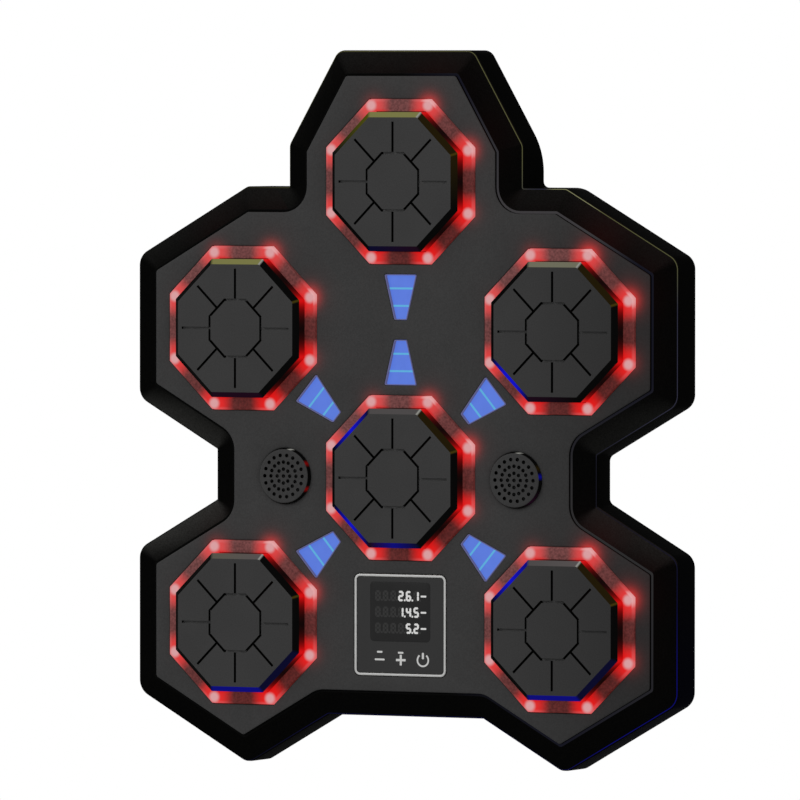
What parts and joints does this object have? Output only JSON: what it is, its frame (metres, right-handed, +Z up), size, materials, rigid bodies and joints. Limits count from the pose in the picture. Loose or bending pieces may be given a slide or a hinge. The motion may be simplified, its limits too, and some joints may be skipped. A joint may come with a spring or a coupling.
{
  "type": "boxing punch machine",
  "caption": "Wall-hung boxing punch machine: lobed housing with sprung octagonal targets in light rings, arrow-like light windows, round speaker grilles and a small display panel.",
  "frame": {"origin": "on the wall face, behind the middle target", "axes": "+Z up, the front looks along -Y and +Y points into the wall"},
  "size_m": [0.3934, 0.0464, 0.4691],
  "materials": {
    "matt_grey_plastic": "fine matt dark grey",
    "black_plastic": "satin black",
    "red_light_guide": "frosted and lit red",
    "blue_light_window": "frosted and lit blue",
    "silver_trim": "satin silver",
    "panel_film": "satin dark film",
    "smoked_lens": "smoked, smooth",
    "steel": "bright wire and screws",
    "circuit_board": "green board",
    "cell_wrap": "shrink wrap"
  },
  "bodies": {
    "housing": {"surround_shell": "black_plastic", "front_plate": "matt_grey_plastic", "back_cover": "black_plastic", "case_screw_1": "steel", "case_screw_2": "steel", "case_screw_3": "steel", "case_screw_4": "steel", "case_screw_5": "steel", "case_screw_6": "steel", "case_screw_7": "steel", "case_screw_8": "steel", "light_ring_top": "red_light_guide", "light_board_top": "circuit_board", "return_spring_top": "steel", "strike_switch_top": "black_plastic", "light_ring_middle": "red_light_guide", "light_board_middle": "circuit_board", "return_spring_middle": "steel", "strike_switch_middle": "black_plastic", "light_ring_upper_left": "red_light_guide", "light_board_upper_left": "circuit_board", "return_spring_upper_left": "steel", "strike_switch_upper_left": "black_plastic", "light_ring_upper_right": "red_light_guide", "light_board_upper_right": "circuit_board", "return_spring_upper_right": "steel", "strike_switch_upper_right": "black_plastic", "light_ring_lower_left": "red_light_guide", "light_board_lower_left": "circuit_board", "return_spring_lower_left": "steel", "strike_switch_lower_left": "black_plastic", "light_ring_lower_right": "red_light_guide", "light_board_lower_right": "circuit_board", "return_spring_lower_right": "steel", "strike_switch_lower_right": "black_plastic", "light_window_top_upper": "blue_light_window", "light_window_top_lower": "blue_light_window", "light_window_upper_left": "blue_light_window", "light_window_upper_right": "blue_light_window", "light_window_lower_left": "blue_light_window", "light_window_lower_right": "blue_light_window", "speaker_grille_left": "matt_grey_plastic", "speaker_driver_left": "black_plastic", "speaker_grille_right": "matt_grey_plastic", "speaker_driver_right": "black_plastic", "panel_frame": "silver_trim", "key_film": "panel_film", "display_lens": "smoked_lens", "key_board": "circuit_board", "display_module": "black_plastic", "main_board": "circuit_board", "battery": "cell_wrap", "usb_socket": "steel"},
    "target_top": {"target_cap_top": "matt_grey_plastic"},
    "target_middle": {"target_cap_middle": "matt_grey_plastic"},
    "target_upper_left": {"target_cap_upper_left": "matt_grey_plastic"},
    "target_upper_right": {"target_cap_upper_right": "matt_grey_plastic"},
    "target_lower_left": {"target_cap_lower_left": "matt_grey_plastic"},
    "target_lower_right": {"target_cap_lower_right": "matt_grey_plastic"}
  },
  "joints": [
    {"name": "target_top_press", "type": "slide", "parent": "housing", "child": "target_top", "axis": [0, 1, 0], "range_m": [0, 0.004], "stiffness_N_per_m": 1500, "springref_m": -0.004, "deforming": ["return_spring_top"]},
    {"name": "target_middle_press", "type": "slide", "parent": "housing", "child": "target_middle", "axis": [0, 1, 0], "range_m": [0, 0.004], "stiffness_N_per_m": 1500, "springref_m": -0.004, "deforming": ["return_spring_middle"]},
    {"name": "target_upper_left_press", "type": "slide", "parent": "housing", "child": "target_upper_left", "axis": [0, 1, 0], "range_m": [0, 0.004], "stiffness_N_per_m": 1500, "springref_m": -0.004, "deforming": ["return_spring_upper_left"]},
    {"name": "target_upper_right_press", "type": "slide", "parent": "housing", "child": "target_upper_right", "axis": [0, 1, 0], "range_m": [0, 0.004], "stiffness_N_per_m": 1500, "springref_m": -0.004, "deforming": ["return_spring_upper_right"]},
    {"name": "target_lower_left_press", "type": "slide", "parent": "housing", "child": "target_lower_left", "axis": [0, 1, 0], "range_m": [0, 0.004], "stiffness_N_per_m": 1500, "springref_m": -0.004, "deforming": ["return_spring_lower_left"]},
    {"name": "target_lower_right_press", "type": "slide", "parent": "housing", "child": "target_lower_right", "axis": [0, 1, 0], "range_m": [0, 0.004], "stiffness_N_per_m": 1500, "springref_m": -0.004, "deforming": ["return_spring_lower_right"]}
  ]
}
